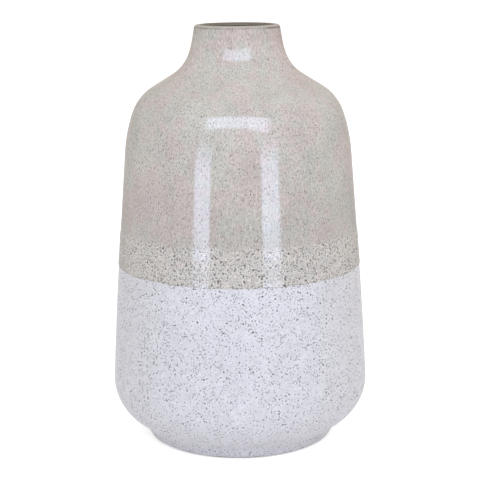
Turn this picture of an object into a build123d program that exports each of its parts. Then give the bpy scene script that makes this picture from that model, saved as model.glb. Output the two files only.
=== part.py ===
from build123d import *
import math
import os

# Bottle vase in cast stoneware. A tapered foot carries a rounded belly, the wall narrows a little as
# it rises, and a round shoulder turns in to a short neck with a rounded lip. The clay is one fired
# piece. White glaze is dipped up from the foot and greige glaze down from the lip, so that the two lie
# over each other in a band. Liner glaze coats the inside and the hollow under the foot is glazed too.
# Millimetres, +Z up. The origin is the centre of the foot on the surface that the vase stands on.

# Clay, outside: corners of the section before they are rounded, from the foot up to the shoulder
foot_radius = 67.4
foot_flare = 5.3
foot_top_height = 9.3
underside_rise = 17.5
belly_radius = 95.7
wall_bow = 1.0
shoulder_radius = 81.6

# Clay, outside: the same from the lip down to the shoulder
lip_height = 304.7
lip_radius = 30.5
neck_taper = 2.8
neck_upper_drop = 16.0
neck_flare = 5.5
neck_lower_drop = 14.2
shoulder_slope_drop = 21.1
shoulder_turn_in = 8.8
shoulder_drop = 26.4

# Clay, outside: rounds on the corners
foot_crease_round = 6.0
belly_round = 34.5
wall_round = 3000.0
shoulder_round = 111.0
shoulder_top_round = 35.0
neck_base_round = 29.0
neck_round = 55.0

# Clay, walls and foot
wall = 4.2
floor = 6.0
floor_round = 14.0
foot_width = 9.3
foot_outer_round = 3.0
foot_inner_round = 1.0
recess_depth = 5.0
recess_taper = 1.5
recess_round = 2.5

# Glaze coats
white_coat = 0.4
greige_coat = 0.3
liner_coat = 0.3
base_coat = 0.3
bare_foot_height = 1.2
greige_dip_height = 130.7
overlap_rise = 27.3
overlap_lead = 5.0

# Cuts run on past the clay by this much
overrun = 12.0

# The wall bows most at this share of its height
wall_bow_share = 0.39
# Two rounds together take at most this share of the run between their corners
round_fit_share = 0.985
# The lip's two rounds, and the bead on the overlap's lower edge, against the clay or coat they sit on
lip_round_share = 0.46
bead_share = 0.75
# Greige glaze turns over the lip and meets the liner at this share of the wall
lip_parting_share = 0.85

# Worked out from the sizes above
foot_top_radius = foot_radius + foot_flare
belly_height = foot_top_height + underside_rise
neck_radius = lip_radius + neck_taper
neck_height = lip_height - neck_upper_drop
neck_base_radius = neck_radius + neck_flare
neck_base_height = neck_height - neck_lower_drop
shoulder_top_radius = shoulder_radius - shoulder_turn_in
shoulder_top_height = neck_base_height - shoulder_slope_drop
shoulder_height = shoulder_top_height - shoulder_drop
bow_height = belly_height + wall_bow_share * (shoulder_height - belly_height)
bow_radius = belly_radius + wall_bow_share * (shoulder_radius - belly_radius) + wall_bow
recess_radius = foot_radius - foot_width
floor_height = recess_depth + floor
floor_middle = recess_depth + floor / 2
overlap_coat = white_coat + greige_coat
white_dip_height = greige_dip_height + overlap_rise
reach = belly_radius + overrun


def fitted_rounds(corners, rounds):
    """Rounds for the inner corners, made smaller where two neighbours would run into each other."""
    runs = [math.dist(a, b) for a, b in zip(corners, corners[1:])]
    headings = [math.atan2(b[1] - a[1], b[0] - a[0]) for a, b in zip(corners, corners[1:])]
    turns = [abs(b - a) for a, b in zip(headings, headings[1:])]
    tangents = [0, *[r * math.tan(turn / 2) for r, turn in zip(rounds, turns)], 0]
    fits = []
    for i, r in enumerate(rounds):
        before = runs[i] / (tangents[i] + tangents[i + 1])
        after = runs[i + 1] / (tangents[i + 1] + tangents[i + 2])
        fits.append(r * min(1, round_fit_share * before, round_fit_share * after))
    return fits


def half_section(start, rise, back):
    """Half section from the axis, or from back behind it, out to the outline that begins with start.
    The neck is carried past the lip by rise."""
    lean = neck_taper / neck_upper_drop
    top = (lip_radius - lean * rise, lip_height + rise)
    corners = [
        *start,
        (belly_radius, belly_height),
        (bow_radius, bow_height),
        (shoulder_radius, shoulder_height),
        (shoulder_top_radius, shoulder_top_height),
        (neck_base_radius, neck_base_height),
        (neck_radius, neck_height),
        top,
    ]
    rounds = [
        belly_round,
        wall_round,
        shoulder_round,
        shoulder_top_round,
        neck_base_round,
        neck_round,
    ]
    if len(start) > 1:
        rounds.insert(0, foot_crease_round)
    outline = FilletPolyline(*corners, radius=fitted_rounds(corners, rounds))
    closing = Polyline(top, (-back, top[1]), (-back, 0), corners[0])
    return make_face([*outline.edges(), *closing.edges()])


def outside():
    """Half section of all that lies within the clay's outside."""
    return half_section([(foot_radius, 0), (foot_top_radius, foot_top_height)], 0, 0)


def zone(near, far, low, high):
    """Rectangle of the half section between two radii and two heights."""
    return make_face(Polyline((near, low), (far, low), (far, high), (near, high), (near, low)).edges())


def inset(depth):
    """Half section that keeps the given depth inside the belly, wall and neck and is open at the mouth."""
    underside_slope = (belly_radius - foot_top_radius) / underside_rise
    underside_start = (foot_top_radius - foot_top_height * underside_slope, 0)
    grown = half_section([underside_start], overrun, overrun)
    kept = zone(0, reach, floor_middle, lip_height + reach)
    return offset(grown, amount=-depth, kind=Kind.INTERSECTION) & kept


def corner(section, radius, height):
    """The section's vertex nearest to a place."""
    return section.vertices().sort_by_distance((radius, height))[0]


def clay_section():
    """Half section of the clay: outside less the inside and the hollow under the foot."""
    inside = inset(wall) & zone(0, reach, floor_height, lip_height + reach)
    floor_corner = inside.vertices().group_by(Axis.Y)[0].sort_by(Axis.X)[-1]
    inside = fillet(floor_corner, floor_round)
    recess_top = recess_radius - recess_taper
    recess = make_face(
        Polyline(
            (0, -overrun),
            (recess_radius, -overrun),
            (recess_radius, 0),
            (recess_top, recess_depth),
            (0, recess_depth),
            (0, -overrun),
        ).edges()
    )
    recess = fillet(corner(recess, recess_top, recess_depth), recess_round)
    section = outside() - inside - recess
    lip_corners = section.vertices().group_by(Axis.Y)[-1]
    section = fillet(lip_corners, wall * lip_round_share)
    section = fillet(corner(section, foot_radius, 0), foot_outer_round)
    return fillet(corner(section, recess_radius, 0), foot_inner_round)


def coat(clay, thickness):
    """Half section of a coat of even thickness all over the clay."""
    return (offset(clay, amount=thickness) - clay) & zone(0, reach, -overrun, lip_height + overrun)


def overlap_section(clay, core):
    """Half section of the band where both glazes lie, beaded below and led out above."""
    band = (coat(clay, overlap_coat) - core) & zone(0, reach, greige_dip_height, white_dip_height)
    band = fillet(band.vertices().group_by(Axis.Y)[0].sort_by(Axis.X)[-1], greige_coat * bead_share)
    upper = band.vertices().group_by(Axis.Y)[-1].sort_by(Axis.X)
    end = band.edges().group_by(Axis.Y)[-1][0]
    return chamfer(upper[-1], white_coat, overlap_lead, reference=end)


def turned(section):
    """Solid turned from a half section."""
    return revolve(Plane.XZ * section, Axis.Z)


clay = clay_section()
core = inset(wall * lip_parting_share)
above = lip_height + overrun
white_zone = zone(recess_radius, reach, bare_foot_height, greige_dip_height)
nodes = {
    "stoneware_body": clay,
    "white_glaze": (coat(clay, white_coat) - core) & white_zone,
    "overlap_glaze": overlap_section(clay, core),
    "greige_glaze": (coat(clay, greige_coat) - core) & zone(0, reach, white_dip_height, above),
    "liner_glaze": coat(clay, liner_coat) & core & zone(0, reach, floor_middle, above),
    "base_glaze": coat(clay, base_coat) & zone(0, recess_radius, bare_foot_height, floor_middle),
}

os.makedirs("parts", exist_ok=True)
for name, section in nodes.items():
    export_step(turned(section), f"parts/{name}.step")
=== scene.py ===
import bpy
import math
from mathutils import Matrix, Vector
from mathutils.kdtree import KDTree


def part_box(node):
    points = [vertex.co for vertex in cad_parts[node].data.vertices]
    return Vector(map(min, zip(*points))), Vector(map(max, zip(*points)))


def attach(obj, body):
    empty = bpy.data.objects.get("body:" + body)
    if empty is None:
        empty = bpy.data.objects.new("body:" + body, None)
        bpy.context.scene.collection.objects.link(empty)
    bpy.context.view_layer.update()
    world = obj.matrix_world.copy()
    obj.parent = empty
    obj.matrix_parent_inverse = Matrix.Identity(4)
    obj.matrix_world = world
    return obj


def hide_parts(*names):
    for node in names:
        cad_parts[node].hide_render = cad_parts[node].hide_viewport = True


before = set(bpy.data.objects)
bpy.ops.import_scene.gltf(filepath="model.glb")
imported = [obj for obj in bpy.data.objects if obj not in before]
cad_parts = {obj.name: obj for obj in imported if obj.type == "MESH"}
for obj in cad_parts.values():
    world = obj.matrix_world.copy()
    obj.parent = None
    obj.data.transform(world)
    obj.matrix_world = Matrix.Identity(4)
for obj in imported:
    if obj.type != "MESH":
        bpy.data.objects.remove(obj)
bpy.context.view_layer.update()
mm = 0.001

# Heights where one coat gives way to the next, and how thick the coats are, from the CAD nodes
clayLow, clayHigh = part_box("stoneware_body")
whiteLow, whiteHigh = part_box("white_glaze")
bandLow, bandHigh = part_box("overlap_glaze")
greigeLow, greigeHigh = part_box("greige_glaze")
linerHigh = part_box("liner_glaze")[1]
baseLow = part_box("base_glaze")[0]
whiteCoat = whiteHigh.x - clayHigh.x
greigeCoat = greigeHigh.z - clayHigh.z
print("frame loaded, clay", [round(v / mm, 1) for v in clayHigh])

turning = {
    "steps": 256,            # faces round the vase
    "longestRun": 2.4 * mm,  # along the outline where it shows
    "hiddenRun": 7 * mm,     # and where the coat lies on the clay
    "edgeSteps": 6,          # points round a coat's edge
    "edgeClear": 1.2,        # none of the others within this many times the edge's width
    "seam": 0.001 * mm,      # how near to the seam a vertex counts as on it
    "same": 0.0001 * mm,     # points that are nearer than this are one
    "underlap": 1.4 * mm,    # a coat runs on under its neighbour by this much
    "tuck": 0.02 * mm,       # and lies this much lower there
    "smoothAngle": math.radians(40),
    "mapEdge": 0.008,        # bare edge round each row of a coat's map
    "mapStrip": 0.06,        # share of the map for the side that lies on the clay
}


# Outline of the clay

def seamChain(nodeName):
    # half section of a turned CAD node, read off its seam on +X, as one chain of points
    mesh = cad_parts[nodeName].data
    links = {}
    for edge in mesh.edges:
        ends = [mesh.vertices[i].co for i in edge.vertices]
        if all(abs(p.y) < turning["seam"] and p.x > 0 for p in ends):
            a, b = [(round(p.x, 7), round(p.z, 7)) for p in ends]
            if a != b:
                links.setdefault(a, set()).add(b)
                links.setdefault(b, set()).add(a)
    chain = [min(p for p in links if len(links[p]) == 1)]
    while True:
        onward = [p for p in links[chain[-1]] if p not in chain[-2:]]
        if not onward:
            return [Vector((r, 0, z)) for r, z in chain]
        chain.append(onward[0])


def smoothLine(points, longest):
    # curve through the points, each tangent along the chord between the neighbours
    tangents = [(b - a).normalized() for a, b in zip(points, points[2:])]
    tangents.insert(0, (points[1] - points[0]).normalized())
    tangents.append((points[-1] - points[-2]).normalized())
    line = [points[0]]
    for i in range(len(points) - 1):
        a, b = points[i], points[i + 1]
        run = (b - a).length
        count = math.ceil(run / longest)
        for k in range(1, count + 1):
            t = k / count
            line.append(
                a * (2 * t**3 - 3 * t**2 + 1)
                + tangents[i] * run * (t**3 - 2 * t**2 + t)
                + b * (3 * t**2 - 2 * t**3)
                + tangents[i + 1] * run * (t**3 - t**2)
            )
    return line


def between(line, low, high):
    # stretch of a rising line, cut off level at both heights
    cut = []
    for a, b in zip(line, line[1:]):
        for height in sorted((low, high)):
            if a.z < height <= b.z:
                cut.append(a.lerp(b, (height - a.z) / (b.z - a.z)))
        if low < b.z < high:
            cut.append(b.copy())
    if low <= line[0].z:
        cut.insert(0, line[0].copy())
    return [p for i, p in enumerate(cut) if i == 0 or (p - cut[i - 1]).length > turning["seam"]]


clayLine = smoothLine(seamChain("stoneware_body"), turning["longestRun"])
crest = max(range(len(clayLine)), key=lambda i: clayLine[i].z)
ground = [i for i, p in enumerate(clayLine) if p.z < clayLow.z + turning["seam"]]
hollowLine = clayLine[:ground[0] + 1]
outsideLine = clayLine[ground[-1]:crest + 1]
insideLine = clayLine[crest:]
lipRadius = clayLine[crest].x
hollowRadius = hollowLine[-1].x
print("outline read:", len(clayLine), "points, crest", [round(v / mm, 2) for v in clayLine[crest]])


# Coats turned on the clay

def runLengths(line):
    total = [0.0]
    for a, b in zip(line, line[1:]):
        total.append(total[-1] + (b - a).length)
    return total


def facing(line, i):
    # outward from the clay, in the half section
    along = (line[min(i + 1, len(line) - 1)] - line[max(i - 1, 0)]).normalized()
    return Vector((along.z, 0, -along.x))


def roundedEnd(line, width):
    # points crowded into the first stretch, so that a coat can end in a round edge there
    gone = runLengths(line)
    steps = turning["edgeSteps"]
    start = []
    for k in range(steps + 1):
        want = width * (1 - math.cos(math.pi / 2 * k / steps))
        i = max(n for n, s in enumerate(gone) if s <= want)
        i = min(i, len(line) - 2)
        start.append(line[i].lerp(line[i + 1], (want - gone[i]) / (gone[i + 1] - gone[i])))
    return start + [p for p, s in zip(line, gone) if s > width * turning["edgeClear"]]


def roundEdge(gone, width):
    # share of a coat's thickness at this distance from its round edge
    short = 1 - min(1.0, gone / width)
    return math.sqrt(1 - short**2)


def tucked(gone, left):
    # thickness of a coat whose first stretch lies under its neighbour
    return greigeCoat - (turning["tuck"] if gone < turning["underlap"] else 0.0)


def toAxis(line):
    # runs on level to the axis
    end = line[-1]
    count = math.ceil(end.x / turning["hiddenRun"])
    return line + [Vector((end.x * (1 - k / count), 0, end.z)) for k in range(1, count + 1)]


def thinned(line):
    # fewer points, where nothing shows
    run = turning["hiddenRun"]
    kept = [line[0]]
    for p in line[1:-1]:
        if (p - kept[-1]).length > run and (p - line[-1]).length > run / 2:
            kept.append(p)
    return kept + [line[-1]]


def apart(line, before):
    # leaves out a point that lies on the one before it
    return [p for p, q in zip(line, [before] + line) if (p - q).length > turning["same"]]


def coatSection(line, thickness):
    # half section: the back of the coat, along the clay, and its face, which runs the other way
    gone = runLengths(line)
    face = []
    for i, p in enumerate(line):
        face.append(p + facing(line, i) * thickness(gone[i], gone[-1] - gone[i]))
        face[-1].x = max(face[-1].x, 0.0)
    back, face = thinned(line), face[::-1]
    return apart(back, face[-1]), apart(face, back[-1])


def turnOf(place):
    # how far round the vase, from 0 to 1
    return math.atan2(place.y, place.x) / math.tau + 0.5


def layMap(piece, back, face):
    # the coat's face is laid out in rows round the vase, and its back, which never shows, in a narrow strip
    section = back + face
    points = KDTree(len(section))
    for i, p in enumerate(section):
        points.insert(p, i)
    points.balance()
    mesh = piece.data
    near = [points.find((math.hypot(v.co.x, v.co.y), 0, v.co.z))[1] for v in mesh.vertices]
    gone = runLengths(section)
    behind = gone[len(back)]
    length = gone[-1] - behind
    along = [s / behind for s in gone[:len(back)]] + [(s - behind) / length for s in gone[len(back):]]
    widest = math.tau * max(p.x for p in face)
    rows = max(1, 2 ** round(math.log2(math.sqrt(widest / length))))
    edge, strip = turning["mapEdge"], turning["mapStrip"]
    high = (1 - strip) / rows
    layer = mesh.uv_layers.new(name="OFBake")
    for polygon in mesh.polygons:
        middle = turnOf(polygon.center)
        shown = all(near[v] >= len(back) for v in polygon.vertices)
        row = int(middle * rows)
        for loop in polygon.loop_indices:
            v = mesh.loops[loop].vertex_index
            onAxis = section[near[v]].x < turning["seam"]
            turn = middle if onAxis else turnOf(mesh.vertices[v].co)
            turn += round(middle - turn)  # on the same side of the seam as the rest of its face
            if shown:
                u, low, tall = turn * rows - row, high * row, high
                rise = along[near[v]]
            else:
                u, low, tall = turn, 1 - strip, strip
                rise = along[near[v]] if near[v] < len(back) else float(near[v] == len(back))
            layer.uv[loop].vector = (edge + (1 - 2 * edge) * u, low + edge + (tall - 2 * edge) * rise)
    print(piece.name, "mapped in", rows, "rows")


def turnPiece(name, back, face, steps=turning["steps"]):
    section = back + face
    bpy.ops.object.select_all(action="DESELECT")
    bpy.ops.mesh.primitive_plane_add(size=1 * mm, calc_uvs=False, location=(0, 0, 0))
    piece = bpy.context.object
    piece.name = name
    piece.data.name = name
    bpy.ops.object.mode_set(mode="EDIT")
    bpy.ops.mesh.merge(type="CENTER")  # one vertex is left to start the outline
    bpy.ops.transform.translate(value=section[0])
    for a, b in zip(section, section[1:] + section[:1]):
        bpy.ops.mesh.extrude_region_move(TRANSFORM_OT_translate={"value": b - a})
    bpy.ops.mesh.select_all(action="SELECT")
    bpy.ops.mesh.remove_doubles(threshold=turning["same"] / 2)
    bpy.ops.mesh.spin(steps=steps, angle=math.tau, center=(0, 0, 0), axis=(0, 0, 1))
    bpy.ops.mesh.select_all(action="SELECT")
    bpy.ops.mesh.remove_doubles(threshold=turning["same"] / 2)
    bpy.ops.mesh.normals_make_consistent(inside=False)
    bpy.ops.object.mode_set(mode="OBJECT")
    bpy.ops.object.shade_smooth_by_angle(angle=turning["smoothAngle"])
    layMap(piece, back, face)
    print(name, "turned,", len(piece.data.polygons), "faces")
    return piece


def waveEdge(piece, height, wave):
    # lets a dipped edge wander up and down, less and less with the distance from it
    group = piece.vertex_groups.new(name="dipEdge")
    for vertex in piece.data.vertices:
        far = min(1.0, abs(vertex.co.z - height) / wave["reach"])
        group.add([vertex.index], (1 - far) ** 2, "REPLACE")
    texture = bpy.data.textures.new(piece.name + "Wave", "CLOUDS")
    texture.noise_scale = wave["length"]
    texture.noise_depth = 2
    displace = piece.modifiers.new("dipEdge", "DISPLACE")
    displace.texture = texture
    displace.texture_coords = "LOCAL"
    displace.direction = "Z"
    displace.vertex_group = group.name
    displace.mid_level = 0.5
    displace.strength = wave["height"]
    bpy.ops.object.select_all(action="DESELECT")
    piece.select_set(True)
    bpy.context.view_layer.objects.active = piece
    bpy.ops.object.modifier_apply(modifier=displace.name)
    piece.vertex_groups.clear()


def settle(piece, node, finish):
    piece.data.materials.clear()
    piece.data.materials.append(finish)
    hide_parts(node)
    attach(piece, "root")


# Nodes that the finishes are made of

def startFinish(name):
    finish = bpy.data.materials.new(name)
    finish.use_nodes = True
    tree = finish.node_tree
    place = tree.nodes.new("ShaderNodeTexCoord").outputs["Object"]
    return finish, tree, tree.nodes["Principled BSDF"], place


def feed(tree, socket, value):
    # a number or colour is set on the socket, an output is linked to it
    if isinstance(value, bpy.types.NodeSocket):
        tree.links.new(value, socket)
    else:
        socket.default_value = value


def sums(tree, operation, first, second):
    node = tree.nodes.new("ShaderNodeMath")
    node.operation = operation
    feed(tree, node.inputs[0], first)
    feed(tree, node.inputs[1], second)
    node.inputs[2].default_value = 1.0  # read by MULTIPLY_ADD alone
    return node.outputs["Value"]


def product(tree, first, *others):
    for other in others:
        first = sums(tree, "MULTIPLY", first, other)
    return first


def ramped(tree, value, low, high, start=0.0, end=1.0, way="SMOOTHSTEP"):
    # start below low, end above high and smooth in between
    node = tree.nodes.new("ShaderNodeMapRange")
    node.interpolation_type = way
    settings = {"Value": value, "From Min": low, "From Max": high, "To Min": start, "To Max": end}
    for name, v in settings.items():
        feed(tree, node.inputs[name], v)
    return node.outputs["Result"]


def blended(tree, factor, below, above):
    node = tree.nodes.new("ShaderNodeMix")
    node.data_type = "RGBA"
    feed(tree, node.inputs["Factor"], factor)
    feed(tree, node.inputs[6], below)  # the sockets for two colours
    feed(tree, node.inputs[7], above)
    return node.outputs[2]


def brighter(tree, colour, times):
    node = tree.nodes.new("ShaderNodeHueSaturation")
    feed(tree, node.inputs["Value"], times)
    feed(tree, node.inputs["Color"], colour)
    return node.outputs["Color"]


def stretched(tree, place, scale, shift=(0, 0, 0)):
    node = tree.nodes.new("ShaderNodeMapping")
    feed(tree, node.inputs["Vector"], place)
    node.inputs["Scale"].default_value = scale
    node.inputs["Location"].default_value = shift
    return node.outputs["Vector"]


def alongAxes(tree, place):
    node = tree.nodes.new("ShaderNodeSeparateXYZ")
    feed(tree, node.inputs["Vector"], place)
    return node.outputs["X"], node.outputs["Y"], node.outputs["Z"]


def cloudy(tree, place, size, detail=2.0, roughness=0.5):
    # soft noise whose blotches are about as wide as size
    node = tree.nodes.new("ShaderNodeTexNoise")
    feed(tree, node.inputs["Vector"], place)
    node.inputs["Scale"].default_value = 1 / size
    node.inputs["Detail"].default_value = detail
    node.inputs["Roughness"].default_value = roughness
    return node.outputs["Fac"]


ruffle = {"size": 1.2 * mm, "push": 0.4 * mm}


def ruffled(tree, place):
    # pushes places about a little, so that marks are uneven
    noise = tree.nodes.new("ShaderNodeTexNoise")
    feed(tree, noise.inputs["Vector"], place)
    noise.inputs["Scale"].default_value = 1 / ruffle["size"]
    noise.inputs["Detail"].default_value = 1.0
    node = tree.nodes.new("ShaderNodeVectorMath")
    node.operation = "MULTIPLY_ADD"
    feed(tree, node.inputs[0], noise.outputs["Color"])
    node.inputs[1].default_value = [ruffle["push"]] * 3
    feed(tree, node.inputs[2], place)
    return node.outputs["Vector"]


speckForm = {
    "sizes": (0.45, 1.3),     # smallest and largest, times the radius
    "core": 0.6,              # full strength out to this share of its size
    "ring": 2.2,              # the ring fades out at this many times its size
    "strengths": (0.5, 1.0),  # faintest and strongest
    "chanceEdge": 0.03,
}


def specks(tree, place, spacing, radius, share):
    # round specks in about that share of the cells, each with its own size, and the ring round each of them
    cells = tree.nodes.new("ShaderNodeTexVoronoi")
    feed(tree, cells.inputs["Vector"], place)
    cells.inputs["Scale"].default_value = 1 / spacing
    far = cells.outputs["Distance"]
    chance = tree.nodes.new("ShaderNodeSeparateColor")
    feed(tree, chance.inputs["Color"], cells.outputs["Color"])
    small, large = [s * radius / spacing for s in speckForm["sizes"]]
    size = ramped(tree, chance.outputs["Red"], 0.0, 1.0, small, large)
    spot = ramped(tree, far, product(tree, size, speckForm["core"]), size, 1.0, 0.0)
    ring = ramped(tree, far, size, product(tree, size, speckForm["ring"]), 1.0, 0.0)
    fewer = sums(tree, "SUBTRACT", share, speckForm["chanceEdge"])
    shown = ramped(tree, chance.outputs["Green"], fewer, share, 1.0, 0.0)
    strength = ramped(tree, chance.outputs["Blue"], 0.0, 1.0, *speckForm["strengths"])
    seen = product(tree, shown, strength)
    return product(tree, spot, seen), product(tree, ring, seen)


def specked(tree, place, colour, kind, **varied):
    # lays one kind of speck on a colour; varied is what changes over the coat
    kind = {"depth": 1.0, "ring": 0.0, "shift": None, **kind, **varied}
    if kind["shift"]:
        place = stretched(tree, place, (1, 1, 1), kind["shift"])
    spot, ring = specks(tree, place, kind["spacing"], kind["radius"], kind["share"])
    if kind["ring"]:  # slightly paler round each of them
        colour = brighter(tree, colour, sums(tree, "MULTIPLY_ADD", ring, kind["ring"]))
    return blended(tree, product(tree, spot, kind["depth"]), colour, kind["colour"])


cloudSpan = {
    "most": (0.3, 0.7),  # nearly all of a cloud's values lie in here
    "middle": (0.35, 0.65),
}


def clouded(tree, place, look):
    # two tones of a coat in soft clouds
    cloud = ramped(tree, cloudy(tree, place, look["cloudSize"]), *cloudSpan["middle"])
    return blended(tree, cloud, look["colour"], look["cloud"])


def grained(tree, place, colour, grain, bright=1.0):
    # fine lighter and darker grain all over a colour
    size, depth = grain
    value = ramped(tree, cloudy(tree, place, size, 1.0), *cloudSpan["most"], -depth, depth)
    return brighter(tree, colour, sums(tree, "ADD", value, bright))


def skin(tree, place, size, depth):
    # slight unevenness of a surface
    node = tree.nodes.new("ShaderNodeBump")
    feed(tree, node.inputs["Height"], cloudy(tree, place, size, 1.0))
    feed(tree, node.inputs["Distance"], depth)
    node.inputs["Strength"].default_value = 1.0
    return node.outputs["Normal"]


gloss = {
    "skinSize": 4 * mm,
    "skin": 0.02 * mm,
    "thinSkin": 0.07 * mm,  # more uneven where the coat is thin
    "thick": (0.5, 1.0),    # from thin to full
    "slant": (0.4, 0.8),    # less of a mirror where it is seen aslant
}


def glossy(tree, shader, place, look, thick=None):
    # melted coat: clear and smooth on top, a little uneven, and duller where it isn't thick
    slant = tree.nodes.new("ShaderNodeLayerWeight").outputs["Facing"]
    weight = ramped(tree, slant, *gloss["slant"], 1.0, look["aslant"])
    depth = gloss["skin"]
    if thick is not None:
        weight = product(tree, weight, thick)
        depth = ramped(tree, thick, *gloss["thick"], gloss["thinSkin"], gloss["skin"])
    feed(tree, shader.inputs["Normal"], skin(tree, place, gloss["skinSize"], depth))
    feed(tree, shader.inputs["Coat Weight"], weight)
    shader.inputs["Coat IOR"].default_value = look["coatIor"]
    shader.inputs["Coat Roughness"].default_value = look["coatRoughness"]
    shader.inputs["Roughness"].default_value = look["roughness"]
    shader.inputs["Specular IOR Level"].default_value = 0.0  # the clear coat alone shines


# The clay keeps its CAD solid

clay = {
    "colour": (0.46, 0.36, 0.27, 1),
    "grain": (0.36, 0.27, 0.19, 1),
    "grainSize": 0.8 * mm,
    "grainDetail": (4.0, 0.6),  # finer layers of it, and how strong they are
    "fine": {"spacing": 2.4 * mm, "radius": 0.45 * mm, "share": 0.6, "colour": (0.10, 0.07, 0.05, 1)},
    "skin": (0.7 * mm, 0.05 * mm),  # size and depth
    "roughness": 0.85,
}


def clayFinish():
    finish, tree, shader, place = startFinish("bareClay")
    grain = cloudy(tree, place, clay["grainSize"], *clay["grainDetail"])
    colour = blended(tree, grain, clay["colour"], clay["grain"])
    feed(tree, shader.inputs["Base Color"], specked(tree, place, colour, clay["fine"]))
    feed(tree, shader.inputs["Normal"], skin(tree, place, *clay["skin"]))
    shader.inputs["Roughness"].default_value = clay["roughness"]
    return finish


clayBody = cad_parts["stoneware_body"]
clayBody.data.materials.clear()
clayBody.data.materials.append(clayFinish())
print("clay finished")


# White coat, from the bare foot up to a little under the band

white = {
    "colour": (0.825, 0.798, 0.802, 1),
    "cloud": (0.793, 0.766, 0.771, 1),
    "cloudSize": 14 * mm,
    "grain": (0.9 * mm, 0.09),  # size, and how much lighter and darker
    "crowdSize": 9 * mm,
    "crowdRange": (0.34, 0.64),
    "crowdShares": (0.5, 0.8),  # share of the cells with a fine speck, where they are sparse and crowded
    "fine": {
        "spacing": 1.1 * mm, "radius": 0.47 * mm, "depth": 0.95, "ring": 0.12,
        "colour": (0.06, 0.05, 0.06, 1),
    },
    "bold": {
        "spacing": 2.25 * mm, "radius": 0.69 * mm, "ring": 0.12, "shift": (0.31, 0.17, 0.05),
        "colour": (0.02, 0.018, 0.02, 1),
    },
    "boldShare": 0.68,  # against the fine ones
    "skin": (2.5 * mm, 0.02 * mm),
    "roughness": 0.5,
    "shine": 0.2,
    "footEdge": 0.5 * mm,
    "wave": {"reach": 3 * mm, "length": 9 * mm, "height": 0.8 * mm},
}


def whiteFinish():
    finish, tree, shader, place = startFinish("whiteGlaze")
    colour = grained(tree, place, clouded(tree, place, white), white["grain"])
    crowd = cloudy(tree, place, white["crowdSize"], 1.0)
    crowded = ramped(tree, crowd, *white["crowdRange"], *white["crowdShares"])
    uneven = ruffled(tree, place)
    colour = specked(tree, uneven, colour, white["fine"], share=crowded)
    boldShare = product(tree, crowded, white["boldShare"])
    colour = specked(tree, uneven, colour, white["bold"], share=boldShare)
    feed(tree, shader.inputs["Base Color"], colour)
    feed(tree, shader.inputs["Normal"], skin(tree, place, *white["skin"]))
    shader.inputs["Roughness"].default_value = white["roughness"]
    shader.inputs["Specular IOR Level"].default_value = white["shine"]
    return finish


def whiteThickness(gone, left):
    return whiteCoat * roundEdge(gone, white["footEdge"])


whiteLine = between(outsideLine, whiteLow.z, whiteHigh.z + turning["underlap"])
whiteLine = roundedEnd(whiteLine, white["footEdge"])
whitePiece = turnPiece("whiteCoat", *coatSection(whiteLine, whiteThickness))
waveEdge(whitePiece, whiteLow.z, white["wave"])
whiteMade = whiteFinish()
settle(whitePiece, "white_glaze", whiteMade)


# Colour of the greige coat, which also shows at the band's upper end

greige = {
    "pink": (0.558, 0.466, 0.419, 1),
    "green": (0.530, 0.500, 0.431, 1),
    "blotch": 10 * mm,
    "drift": 40 * mm,  # the blotches lean to one of the two over longer stretches
    "driftShare": 0.8,
    "toneRange": (0.72, 1.08),
    # heights, and what the brightness is times at them
    # painted light from above: the coat is painted paler higher up, as the shoulder and neck catch more
    # light
    "paintedOverheadLight": (150 * mm, 280 * mm, 0.945, 1.19),
    "darker": (291 * mm, 303 * mm, 1.0, 0.92),
    "shade": {"size": 17 * mm, "scale": (1, 1, 0.6), "shift": (0.29, 0.13, 0.33), "times": (0.955, 1.045)},
    "grain": (1.0 * mm, 0.15),
    "fine": {
        "spacing": 0.95 * mm, "radius": 0.39 * mm, "share": 0.9, "ring": 0.12,
        "colour": (0.10, 0.08, 0.068, 1),
    },
    "bold": {
        "spacing": 2.2 * mm, "radius": 0.5 * mm, "share": 0.5, "ring": 0.12, "shift": (0.13, 0.41, 0.23),
        "colour": (0.10, 0.08, 0.068, 1),
    },
    # heights, and the specks' depth at them
    "fineFades": (272 * mm, 290 * mm, 0.78, 0.56),
    "boldFades": (262 * mm, 294 * mm, 0.8, 0.35),
    "drawn": (1, 1, 0.5),  # marks are twice as tall as wide
    "neckFrom": 268 * mm,
    "neckDrawn": -0.25,    # and taller still on the neck
    "crest": (0.56, 0.505, 0.42, 1),
    "breaking": (0.16, 0.105, 0.07, 1),
    # heights from the top
    "crestRise": (-0.9 * mm, -0.4 * mm),
    "breakRise": (-2.7 * mm, -1.9 * mm),
    "breakFall": (-1.5 * mm, -0.9 * mm),
    "breakDepth": 0.8,
    "patch": {"size": 17 * mm, "shift": (0.07, 0.03, 0.11), "range": (0.42, 0.6), "least": 0.4},
    # distances out from the crest, so that inwards is negative
    "innerEdge": (-1.9 * mm, -1.2 * mm),
    "rearEdge": (-0.9 * mm, 0.1 * mm),
    "rearFrom": (8 * mm, 18 * mm),  # along +Y
    "innerDepth": 0.85,
    "thins": (-30 * mm, -1.5 * mm, 1.0, 0.2),  # heights from the top, and how full the coat is at them
    "roughness": 0.5,
    "coatRoughness": 0.07,
    "coatIor": 1.86,
    "aslant": 0.28,
}


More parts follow.
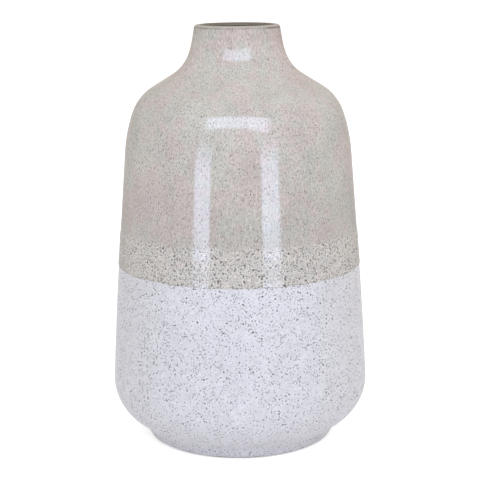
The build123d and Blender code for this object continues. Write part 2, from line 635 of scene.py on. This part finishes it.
def greigeColour(tree, place):
    # pinkish and grey-green blotches, painted paler higher up as light from above, with faint specks drawn
    # out downwards, most of all on the neck
    z = alongAxes(tree, place)[2]
    neck = sums(tree, "MAXIMUM", sums(tree, "SUBTRACT", z, greige["neckFrom"]), 0.0)
    drawn = tree.nodes.new("ShaderNodeCombineXYZ")
    feed(tree, drawn.inputs["Z"], product(tree, neck, greige["neckDrawn"]))
    long = tree.nodes.new("ShaderNodeVectorMath")
    feed(tree, long.inputs[0], stretched(tree, ruffled(tree, place), greige["drawn"]))
    feed(tree, long.inputs[1], drawn.outputs["Vector"])
    long = long.outputs["Vector"]
    drift = product(tree, cloudy(tree, place, greige["drift"], 0.0), greige["driftShare"])
    tone = sums(tree, "ADD", cloudy(tree, place, greige["blotch"]), drift)
    colour = blended(tree, ramped(tree, tone, *greige["toneRange"]), greige["pink"], greige["green"])
    shade = greige["shade"]
    shaded = cloudy(tree, stretched(tree, place, shade["scale"], shade["shift"]), shade["size"], 1.0)
    shaded = ramped(tree, shaded, *cloudSpan["most"], *shade["times"])
    # brightness times: painted light from above, darker towards the lip, and a slow uneven tone
    paintedLightAndTone = product(tree, ramped(tree, z, *greige["paintedOverheadLight"]), ramped(tree, z, *greige["darker"]), shaded)
    colour = grained(tree, long, colour, greige["grain"], paintedLightAndTone)
    colour = specked(tree, long, colour, greige["fine"], depth=ramped(tree, z, *greige["fineFades"]))
    return specked(tree, long, colour, greige["bold"], depth=ramped(tree, z, *greige["boldFades"]))


# Band where the greige coat lies over the white one

band = {
    "colour": (0.610, 0.547, 0.482, 1),
    "cloud": (0.571, 0.532, 0.478, 1),
    "cloudSize": 7 * mm,
    "grain": (1.0 * mm, 0.18),
    "fine": {
        "spacing": 1.1 * mm, "radius": 0.55 * mm, "share": 0.9, "depth": 0.95, "ring": 0.2,
        "colour": (0.055, 0.046, 0.042, 1),
    },
    "bold": {
        "spacing": 2.0 * mm, "radius": 0.8 * mm, "share": 0.82, "ring": 0.2, "shift": (0.23, 0.07, 0.11),
        "colour": (0.024, 0.018, 0.015, 1),
    },
    "gathered": {
        "spacing": 1.8 * mm, "radius": 0.75 * mm, "shift": (0.05, 0.19, 0.37),
        "colour": (0.024, 0.018, 0.015, 1),
    },
    "gather": (0.8 * mm, 2.6 * mm, 0.9, 0.0),  # heights from the lower edge, and their share at them
    "fade": 2.2 * mm,
    "wander": 6 * mm,  # size and height of the uneven upper end
    "roughness": 0.5,
    "coatRoughness": 0.07,
    "coatIor": 1.86,
    "aslant": 0.28,
    "edge": 0.55 * mm,
    "bead": 0.12 * mm,
    "beadWidth": 1.6 * mm,
    "lead": 5 * mm,
    "wave": {"reach": 9 * mm, "length": 10 * mm, "height": 1.6 * mm},
}


def bandColour(tree, place):
    # paler ground with many dark specks, which gather along the lower edge
    fromEdge = sums(tree, "SUBTRACT", alongAxes(tree, place)[2], bandLow.z)
    colour = grained(tree, place, clouded(tree, place, band), band["grain"])
    uneven = ruffled(tree, place)
    colour = specked(tree, uneven, colour, band["fine"])
    colour = specked(tree, uneven, colour, band["bold"])
    return specked(tree, uneven, colour, band["gathered"], share=ramped(tree, fromEdge, *band["gather"]))


def dippedColour(tree, place):
    # the two run into each other where the white coat underneath ends
    wander = sums(tree, "SUBTRACT", cloudy(tree, place, band["wander"]), 0.5)
    height = sums(tree, "ADD", alongAxes(tree, place)[2], product(tree, wander, band["wander"]))
    fade = ramped(tree, height, bandHigh.z - band["fade"], bandHigh.z + band["fade"])
    return blended(tree, fade, bandColour(tree, place), greigeColour(tree, place))


def bandFinish():
    finish, tree, shader, place = startFinish("overlapGlaze")
    feed(tree, shader.inputs["Base Color"], dippedColour(tree, place))
    glossy(tree, shader, place, band)
    return finish


def bandThickness(gone, left):
    bead = band["bead"] * math.exp(-((gone / band["beadWidth"]) ** 2))
    lead = min(1.0, left / band["lead"])
    return (greigeCoat + whiteCoat * lead + bead) * roundEdge(gone, band["edge"])


bandLine = roundedEnd(between(outsideLine, bandLow.z, bandHigh.z), band["edge"])
bandPiece = turnPiece("overlapBand", *coatSection(bandLine, bandThickness))
waveEdge(bandPiece, bandLow.z, band["wave"])
settle(bandPiece, "overlap_glaze", bandFinish())


# Greige coat, from under the band's upper end over the lip

def greigeFinish():
    finish, tree, shader, place = startFinish("greigeGlaze")
    y, z = alongAxes(tree, place)[1:]
    fromTop = sums(tree, "SUBTRACT", z, greigeHigh.z)
    colour = dippedColour(tree, place)
    colour = blended(tree, ramped(tree, fromTop, *greige["crestRise"]), colour, greige["crest"])
    # where the coat thins it breaks to brown, in patches below the crest
    patch = greige["patch"]
    patches = cloudy(tree, stretched(tree, place, (1, 1, 1), patch["shift"]), patch["size"])
    patches = ramped(tree, patches, *patch["range"], patch["least"], 1.0)
    rise = ramped(tree, fromTop, *greige["breakRise"])
    fall = ramped(tree, fromTop, *greige["breakFall"], 1.0, 0.0)
    line = product(tree, rise, fall, patches, greige["breakDepth"])
    colour = blended(tree, line, colour, greige["breaking"])
    # and along the lip's inner edge, more widely at the rear
    across = tree.nodes.new("ShaderNodeVectorMath")
    across.operation = "LENGTH"
    feed(tree, across.inputs[0], stretched(tree, place, (1, 1, 0)))
    fromCrest = sums(tree, "SUBTRACT", across.outputs["Value"], lipRadius)
    inner = ramped(tree, fromCrest, *greige["innerEdge"], 1.0, 0.0)
    wider = ramped(tree, fromCrest, *greige["rearEdge"], 1.0, 0.0)
    inner = sums(tree, "MAXIMUM", inner, product(tree, wider, ramped(tree, y, *greige["rearFrom"])))
    colour = blended(tree, product(tree, inner, greige["innerDepth"]), colour, greige["breaking"])
    feed(tree, shader.inputs["Base Color"], colour)
    glossy(tree, shader, place, greige, ramped(tree, fromTop, *greige["thins"]))
    return finish


greigeLine = between(outsideLine, greigeLow.z - turning["underlap"], clayHigh.z)
overLip = between(insideLine[::-1], linerHigh.z, clayHigh.z)[::-1]
greigePiece = turnPiece("greigeCoat", *coatSection(greigeLine + overLip[1:], tucked))
settle(greigePiece, "greige_glaze", greigeFinish())


# Liner, from under the greige coat at the lip down to the middle of the floor

liner = {
    "colour": (0.262, 0.218, 0.163, 1),
    "cloud": (0.20, 0.163, 0.115, 1),
    "cloudSize": 6 * mm,
    "fine": {
        "spacing": 1.9 * mm, "radius": 0.5 * mm, "share": 0.8, "depth": 0.7,
        "colour": (0.07, 0.05, 0.035, 1),
    },
    "roughness": 0.5,
    "coatRoughness": 0.06,
    "coatIor": 1.5,
    "aslant": 0.4,
    "underLip": 0.3 * mm,  # it runs on this far up under the greige coat
    "steps": turning["steps"] // 2,
}


def linerFinish():
    finish, tree, shader, place = startFinish("linerGlaze")
    colour = blended(tree, cloudy(tree, place, liner["cloudSize"]), liner["colour"], liner["cloud"])
    feed(tree, shader.inputs["Base Color"], specked(tree, place, colour, liner["fine"]))
    glossy(tree, shader, place, liner)
    return finish


linerLine = between(insideLine[::-1], clayLow.z, linerHigh.z + liner["underLip"])[::-1]
linerPiece = turnPiece("linerCoat", *coatSection(toAxis(linerLine), tucked), liner["steps"])
settle(linerPiece, "liner_glaze", linerFinish())


# White coat in the hollow under the foot

hollow = {
    "edge": 0.5 * mm,
    "wave": {"reach": 2 * mm, "length": 9 * mm, "height": 0.7 * mm},
}


def hollowThickness(gone, left):
    return -greigeCoat * roundEdge(gone, hollow["edge"])  # this line runs the other way round


baseLine = roundedEnd(between(hollowLine[::-1], baseLow.z, clayHigh.z), hollow["edge"])
basePiece = turnPiece("hollowCoat", *coatSection(toAxis(baseLine), hollowThickness))
waveEdge(basePiece, baseLow.z, hollow["wave"])
settle(basePiece, "base_glaze", whiteMade)
print("coats finished")


# Floor that shows from above only, and a white surround

stageLook = {
    "floorRadius": 14,
    "floorSides": 96,
    "floor": (0.92, 0.92, 0.92, 1),
    "floorRoughness": 0.9,
    "glow": 0.55,         # of the floor as the camera sees it
    "fill": 0.41,         # light from all round
    "overhead": 0.72,     # and from straight above
    "rises": (0.1, 0.9),  # from the one to the other, by how steeply it comes down
    "slope": 0.1,         # more of it from the right, by this share
    "fillTint": (1, 0.965, 0.90, 1),
    "white": (1, 1, 1, 1),
}


def seenPlainly(tree):
    # what the camera sees, directly or in a mirror or through glass
    light = tree.nodes.new("ShaderNodeLightPath")
    seen = sums(tree, "MAXIMUM", light.outputs["Is Camera Ray"], light.outputs["Is Glossy Ray"])
    return sums(tree, "MAXIMUM", seen, light.outputs["Is Transmission Ray"])


def eitherShader(tree, factor, first, second):
    node = tree.nodes.new("ShaderNodeMixShader")
    feed(tree, node.inputs["Fac"], factor)
    feed(tree, node.inputs[1], first)
    feed(tree, node.inputs[2], second)
    return node.outputs["Shader"]


def floorFinish():
    finish, tree, shader, place = startFinish("paleFloor")
    shader.inputs["Base Color"].default_value = stageLook["floor"]
    shader.inputs["Roughness"].default_value = stageLook["floorRoughness"]
    shader.inputs["Emission Color"].default_value = stageLook["white"]
    feed(tree, shader.inputs["Emission Strength"], product(tree, seenPlainly(tree), stageLook["glow"]))
    below = tree.nodes.new("ShaderNodeNewGeometry").outputs["Backfacing"]
    clear = tree.nodes.new("ShaderNodeBsdfTransparent").outputs["BSDF"]
    shown = eitherShader(tree, below, shader.outputs["BSDF"], clear)
    feed(tree, tree.nodes["Material Output"].inputs["Surface"], shown)
    return finish


# the floor is a ring: under the vase it is left open, so that light reaches the hollow of the foot
bpy.ops.object.select_all(action="DESELECT")
bpy.ops.mesh.primitive_circle_add(vertices=stageLook["floorSides"], radius=stageLook["floorRadius"])
floor = bpy.context.object
floor.name = "paleFloor"
bpy.ops.object.mode_set(mode="EDIT")
bpy.ops.mesh.primitive_circle_add(vertices=stageLook["floorSides"], radius=hollowRadius)
bpy.ops.mesh.select_all(action="SELECT")
bpy.ops.mesh.bridge_edge_loops()
bpy.ops.mesh.normals_make_consistent(inside=False)
bpy.ops.object.mode_set(mode="OBJECT")
if floor.data.polygons[0].normal.z < 0:
    floor.data.flip_normals()
floor.data.materials.append(floorFinish())


def surround():
    world = bpy.data.worlds.new("whiteRoom")
    bpy.context.scene.world = world
    world.use_nodes = True
    tree = world.node_tree
    fill = tree.nodes["Background"]
    fill.inputs["Color"].default_value = stageLook["fillTint"]
    towards = tree.nodes.new("ShaderNodeTexCoord").outputs["Generated"]
    x, y, z = alongAxes(tree, towards)
    strength = ramped(tree, z, *stageLook["rises"], stageLook["fill"], stageLook["overhead"])
    slope = ramped(tree, x, -1.0, 1.0, 1 - stageLook["slope"], 1 + stageLook["slope"])
    feed(tree, fill.inputs["Strength"], product(tree, strength, slope))
    plain = tree.nodes.new("ShaderNodeBackground")
    plain.inputs["Color"].default_value = stageLook["white"]
    shown = eitherShader(tree, seenPlainly(tree), fill.outputs["Background"], plain.outputs["Background"])
    feed(tree, tree.nodes["World Output"].inputs["Surface"], shown)


surround()

# Two upright softboxes in front, a wide one above the camera and one behind, placed by the angles at which
# the vase sees them. soft: share of the width or height over which the light fades, from the left, right,
# bottom and top edges
lamps = {
    "leftStrip": {
        "turn": (-43, -25.3), "rise": (-8.5, 23), "lean": -6, "bright": 3.55,
        "soft": (0.2, 0.05, 0.2, 0.89),
    },
    "rightStrip": {
        "turn": (21.2, 40.7), "rise": (-8.5, 23), "lean": 0, "bright": 3.65,
        "soft": (0.05, 0.2, 0.2, 0.89),
    },
    "topBar": {
        "turn": (-42.5, 43), "rise": (28, 51), "lean": -2, "bright": 2.9,
        "soft": (0.2, 0.2, 0.08, 0.2),
    },
    "backWash": {
        "turn": (167, 193), "rise": (0, 48), "lean": 0, "bright": 2.4,
        "soft": (0.3, 0.3, 0.3, 0.3),
    },
}
lampRig = {
    "away": 1.6,
    "aim": Vector((0, 0, 0.19)),
    "tint": (0.63, 0.74, 1.0),
}


def fadeEdges(light, soft):
    light.use_nodes = True
    tree = light.node_tree
    spot = tree.nodes.new("ShaderNodeNewGeometry").outputs["Parametric"]
    across, up = alongAxes(tree, spot)[:2]
    left, right, bottom, top = soft
    strength = product(
        tree,
        ramped(tree, across, 0.0, left),
        ramped(tree, across, 1 - right, 1.0, 1.0, 0.0),
        ramped(tree, up, 0.0, bottom),
        ramped(tree, up, 1 - top, 1.0, 1.0, 0.0, "LINEAR"),
    )
    feed(tree, tree.nodes["Emission"].inputs["Strength"], strength)


def addLamp(name, lamp):
    left, right = [math.radians(a) for a in lamp["turn"]]
    low, high = [math.radians(a) for a in lamp["rise"]]
    middle, rise = (left + right) / 2, (low + high) / 2
    level = math.cos(rise)
    away = lampRig["away"] / level
    out = Vector((math.sin(middle) * level, -math.cos(middle) * level, math.sin(rise)))
    bpy.ops.object.light_add(type="AREA", location=lampRig["aim"] + out * away)
    light = bpy.context.object
    light.name = name
    lean = Matrix.Rotation(math.radians(lamp["lean"]), 3, "Z")
    light.rotation_euler = (out.to_track_quat("Z", "Y").to_matrix() @ lean).to_euler()
    light.data.shape = "RECTANGLE"
    light.data.size = 2 * away * level * math.tan((right - left) / 2)
    light.data.size_y = 2 * away * math.tan((high - low) / 2)
    light.data.energy = math.pi * light.data.size * light.data.size_y * lamp["bright"]
    light.data.color = lampRig["tint"]
    fadeEdges(light.data, lamp["soft"])


for name, lamp in lamps.items():
    addLamp(name, lamp)

# Camera, fitted to the outline
camera = {
    "away": 0.9716,
    "height": 0.3529,
    "down": 12.02,
    "roll": -0.5,
    "aside": 0.0008,
    "lens": 100,
    "sensor": 36,
}
bpy.ops.object.camera_add(location=(camera["aside"], -camera["away"], camera["height"]))
eye = bpy.context.object
eye.name = "camera"
tilt = Matrix.Rotation(math.radians(90 - camera["down"]), 4, "X")
lean = Matrix.Rotation(math.radians(camera["roll"]), 4, "Z")
eye.rotation_euler = (tilt @ lean).to_euler()
eye.data.lens = camera["lens"]
eye.data.sensor_width = camera["sensor"]
bpy.context.scene.camera = eye
bpy.context.scene.view_settings.view_transform = "Standard"
print("stage, lamps and camera set")
